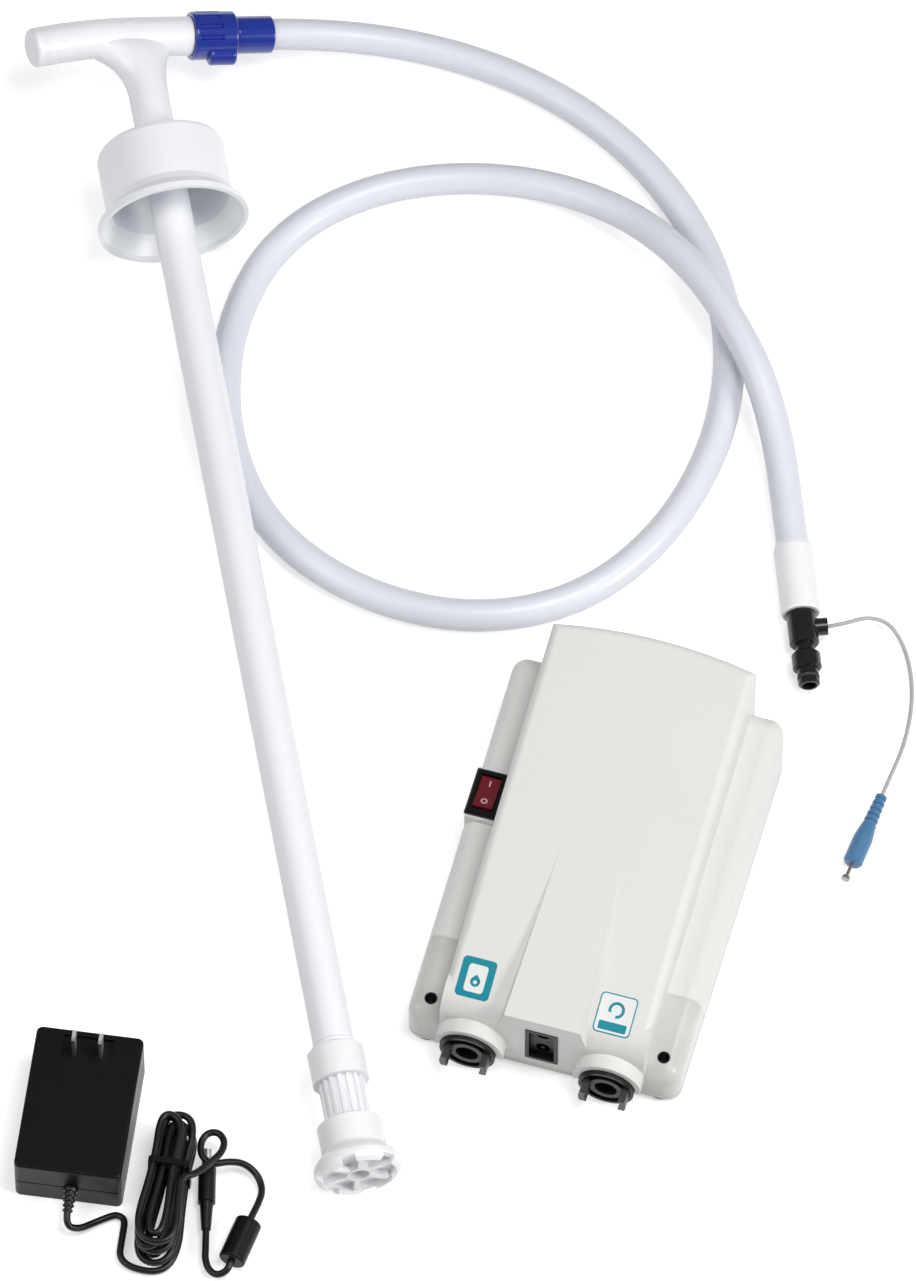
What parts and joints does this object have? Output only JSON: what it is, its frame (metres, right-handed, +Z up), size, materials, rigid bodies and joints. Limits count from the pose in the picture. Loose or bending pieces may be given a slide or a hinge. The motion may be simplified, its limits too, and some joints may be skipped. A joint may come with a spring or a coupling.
{
  "type": "bottled water pump system",
  "caption": "Bottled water pump with a suction wand and bottle cap, a delivery hose with a quick fitting, a float lead and a wall adaptor with its tied cord",
  "frame": {"origin": "on the surface that everything lies on, under the middle of the pump's base; the base plate's underside stands 3.2 mm above it on rubber feet", "axes": "+X to the pump's right as seen from its ports, the ports face -Y, +Z up; the wand lies to the left at 26.2 degrees from +Y"},
  "size_m": [0.5093, 0.6864, 0.0751],
  "materials": {
    "housing_plastic": "satin",
    "base_plastic": "matte",
    "pad_plastic": "translucent grey",
    "black_plastic": "satin",
    "clip_plastic": "satin",
    "rocker_plastic": "glossy dark red",
    "foot_rubber": "matte",
    "white_plastic": "satin",
    "tube_plastic": "satin",
    "blue_plastic": "satin",
    "hose_vinyl": "satin",
    "cuff_rubber": "matte",
    "lead_jacket": "satin",
    "plug_blue": "satin",
    "bright_metal": "polished",
    "adaptor_plastic": "fine grain",
    "cord_jacket": "satin",
    "tie_plastic": "matte",
    "motor_steel": "satin",
    "screw_steel": "satin",
    "copper_winding": "satin",
    "magnet_ferrite": "matte",
    "head_plastic": "satin",
    "diaphragm_rubber": "matte",
    "board_green": "satin",
    "tube_vinyl": "satin"
  },
  "bodies": {
    "pump_and_kit": {"upper_housing": "housing_plastic", "base_plate": "base_plastic", "mounting_pads": "pad_plastic", "rubber_feet": "foot_rubber", "housing_screws": "screw_steel", "inlet_port": "black_plastic", "outlet_port": "black_plastic", "power_socket": "black_plastic", "switch_body": "black_plastic", "motor_can": "motor_steel", "motor_end_bell": "head_plastic", "motor_bearings": "bright_metal", "motor_magnets": "magnet_ferrite", "drive_housing": "head_plastic", "diaphragm": "diaphragm_rubber", "valve_plate": "white_plastic", "pump_head": "head_plastic", "pump_screws": "screw_steel", "pressure_switch": "white_plastic", "internal_tubes": "tube_vinyl", "pump_bracket": "motor_steel", "motor_mounts": "foot_rubber", "circuit_board": "board_green", "foot_strainer": "white_plastic", "ribbed_stem": "white_plastic", "foot_collar": "white_plastic", "reed_switch": "black_plastic", "wand_tube": "tube_plastic", "t_handle": "white_plastic", "handle_end_cap": "white_plastic", "hose_barb": "blue_plastic", "hose": "hose_vinyl", "hose_cuff": "hose_vinyl", "quick_fitting": "black_plastic", "fitting_seal": "cuff_rubber", "float_lead": "lead_jacket", "lead_plug": "plug_blue", "lead_pin": "bright_metal", "adaptor_case": "adaptor_plastic", "adaptor_blades": "bright_metal", "adaptor_relief": "cord_jacket", "supply_cord": "cord_jacket", "cord_hank": "cord_jacket", "hank_tie": "tie_plastic", "plug_cord": "cord_jacket", "ferrite_core": "adaptor_plastic", "dc_plug": "adaptor_plastic", "dc_barrel": "bright_metal"},
    "rocker": {"switch_rocker": "rocker_plastic"},
    "inlet_slide": {"inlet_clip": "clip_plastic"},
    "outlet_slide": {"outlet_clip": "clip_plastic"},
    "shaft": {"motor_shaft": "bright_metal", "armature": "copper_winding", "drive_cam": "motor_steel"},
    "wobbler": {"wobble_plate": "head_plastic", "wobble_bearing": "bright_metal"},
    "float": {"float_ring": "white_plastic"},
    "cap": {"bottle_cap": "white_plastic", "cap_grommet": "cuff_rubber"},
    "nut": {"swivel_nut": "blue_plastic"}
  },
  "joints": [
    {"name": "rocker_pivot", "type": "hinge", "parent": "pump_and_kit", "child": "rocker", "pos_m": [-0.05965, 0.0175, 0.03935], "axis": [1, 0, 0], "range_deg": [0, 16]},
    {"name": "inlet_clip_slide", "type": "slide", "parent": "pump_and_kit", "child": "inlet_slide", "axis": [0, -1, 0], "range_m": [0, 0.0035]},
    {"name": "outlet_clip_slide", "type": "slide", "parent": "pump_and_kit", "child": "outlet_slide", "axis": [0, -1, 0], "range_m": [0, 0.0035]},
    {"name": "shaft_spin", "type": "hinge", "parent": "pump_and_kit", "child": "shaft", "pos_m": [0, 0, 0.029], "axis": [0, 1, 0], "continuous": true},
    {"name": "wobble_spin", "type": "hinge", "parent": "shaft", "child": "wobbler", "pos_m": [0, -0.005, 0.029], "axis": [0, 0.9945, 0.1045], "continuous": true},
    {"name": "float_slide", "type": "slide", "parent": "pump_and_kit", "child": "float", "axis": [-0.4413, 0.8968, 0.0307], "range_m": [0, 0.0215]},
    {"name": "cap_slide", "type": "slide", "parent": "pump_and_kit", "child": "cap", "axis": [-0.4413, 0.8968, 0.0307], "range_m": [0, 0.02]},
    {"name": "nut_swivel", "type": "hinge", "parent": "pump_and_kit", "child": "nut", "pos_m": [-0.30644, 0.39042, 0.03039], "axis": [0.8632, 0.4336, -0.2587], "continuous": true}
  ],
  "couplings": [
    {"joint": "wobble_spin", "follows": "shaft_spin", "ratio": -1}
  ]
}
